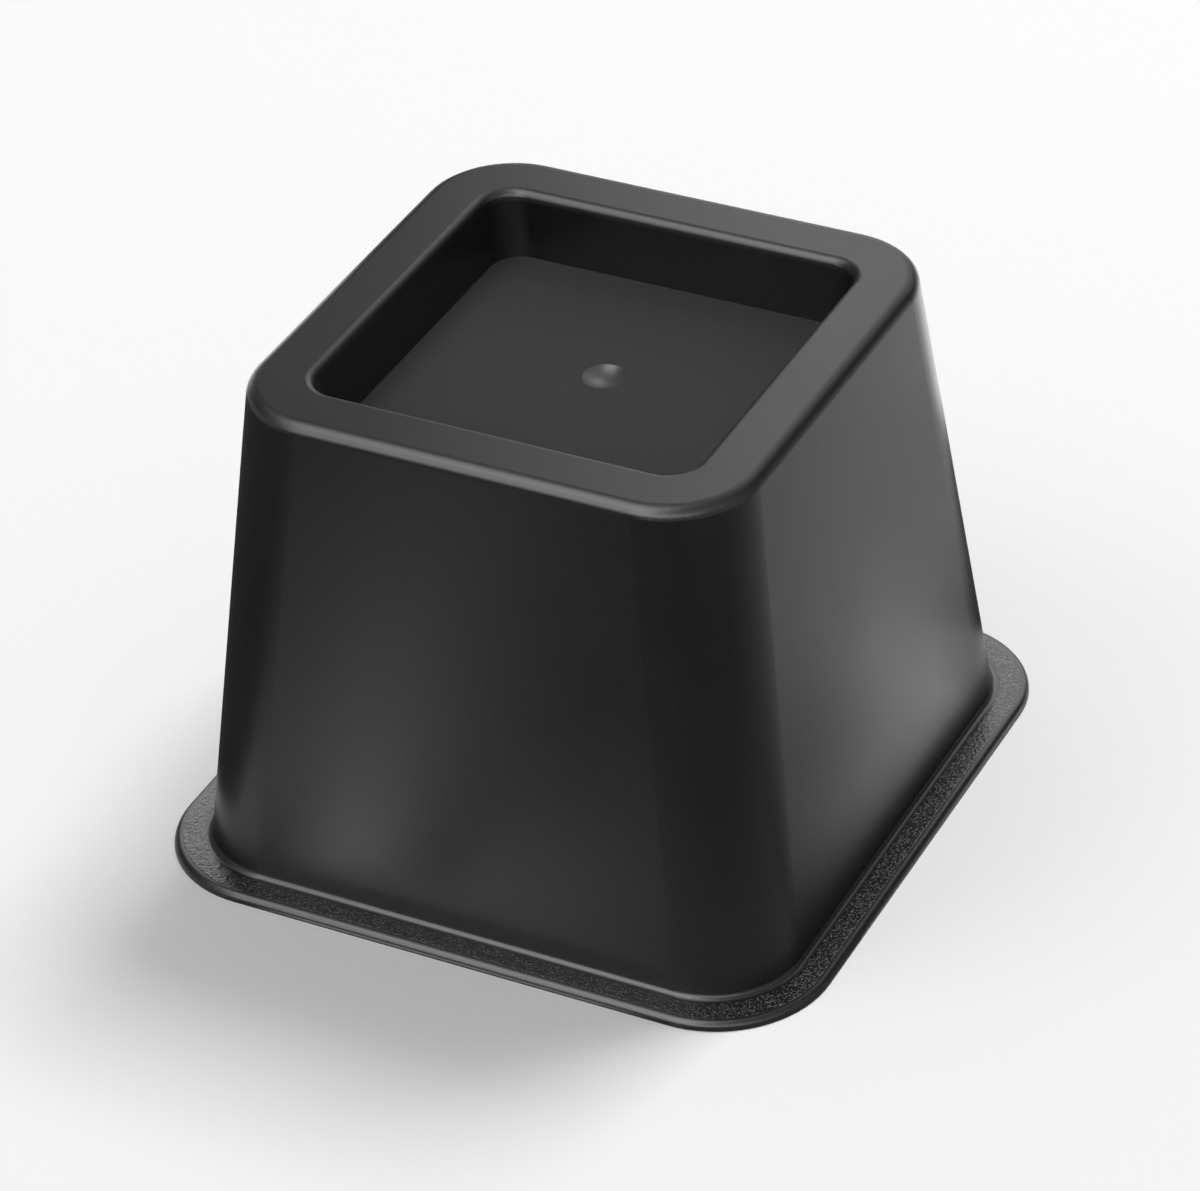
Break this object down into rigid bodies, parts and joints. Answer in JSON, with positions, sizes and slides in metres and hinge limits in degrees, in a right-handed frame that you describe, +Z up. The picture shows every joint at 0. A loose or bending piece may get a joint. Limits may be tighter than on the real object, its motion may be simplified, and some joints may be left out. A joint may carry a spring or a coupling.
{
  "type": "bed riser",
  "caption": "Square tapered riser that lifts a bed leg: a hollow moulded shell with a shallow socket in its top, a flange round its base and crossed ribs underneath.",
  "frame": {"origin": "middle of the base, on the floor", "axes": "+Z up, towards the socket; X and Y along the sides of the square"},
  "size_m": [0.1722, 0.1722, 0.127],
  "materials": {
    "black_plastic": "satin moulded polypropylene with a fine grain"
  },
  "bodies": {
    "root": {"riser": "black_plastic"}
  },
  "joints": []
}
